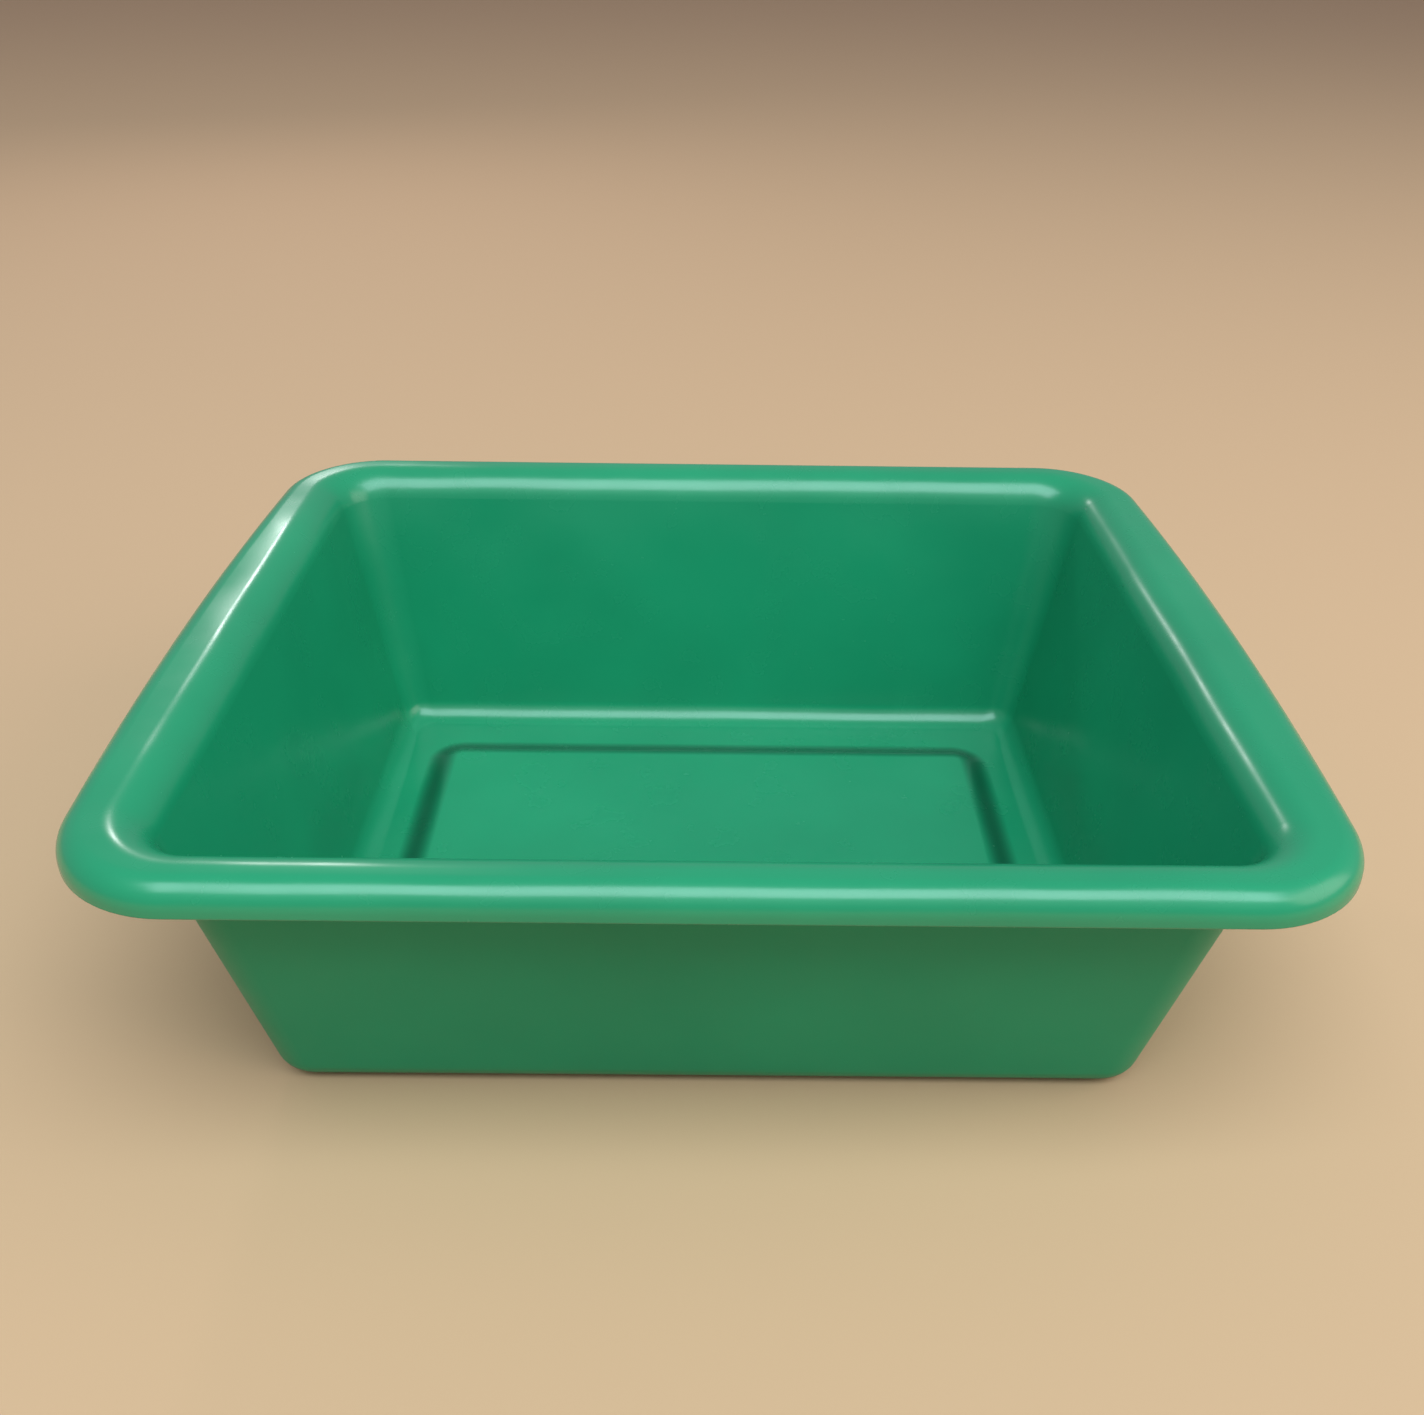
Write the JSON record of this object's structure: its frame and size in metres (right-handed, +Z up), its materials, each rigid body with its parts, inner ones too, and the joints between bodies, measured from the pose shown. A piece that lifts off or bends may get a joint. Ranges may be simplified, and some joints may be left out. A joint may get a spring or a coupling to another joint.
{
  "type": "gold pan",
  "caption": "Deep rectangular wash pan for gold panning, moulded in green plastic, with leaning walls, a rolled rim with swelled end grips and a raised floor panel.",
  "frame": {"origin": "middle of the ledge that the pan stands on, on the ground, which is also the bottom centre of the part's box", "axes": "+X along the long side, +Y away from the front long side, +Z up out of the open mouth"},
  "size_m": [0.62, 0.516, 0.186],
  "materials": {
    "green_plastic": "glossy injection moulded polyethylene, self-coloured, lightly scuffed"
  },
  "bodies": {
    "root": {"floor_panel": "green_plastic", "floor_ledge": "green_plastic", "front_wall": "green_plastic", "back_wall": "green_plastic", "left_wall": "green_plastic", "right_wall": "green_plastic", "wall_corners": "green_plastic", "front_rim": "green_plastic", "back_rim": "green_plastic", "left_grip": "green_plastic", "right_grip": "green_plastic", "rim_corners": "green_plastic", "rim_ribs": "green_plastic"}
  },
  "joints": []
}
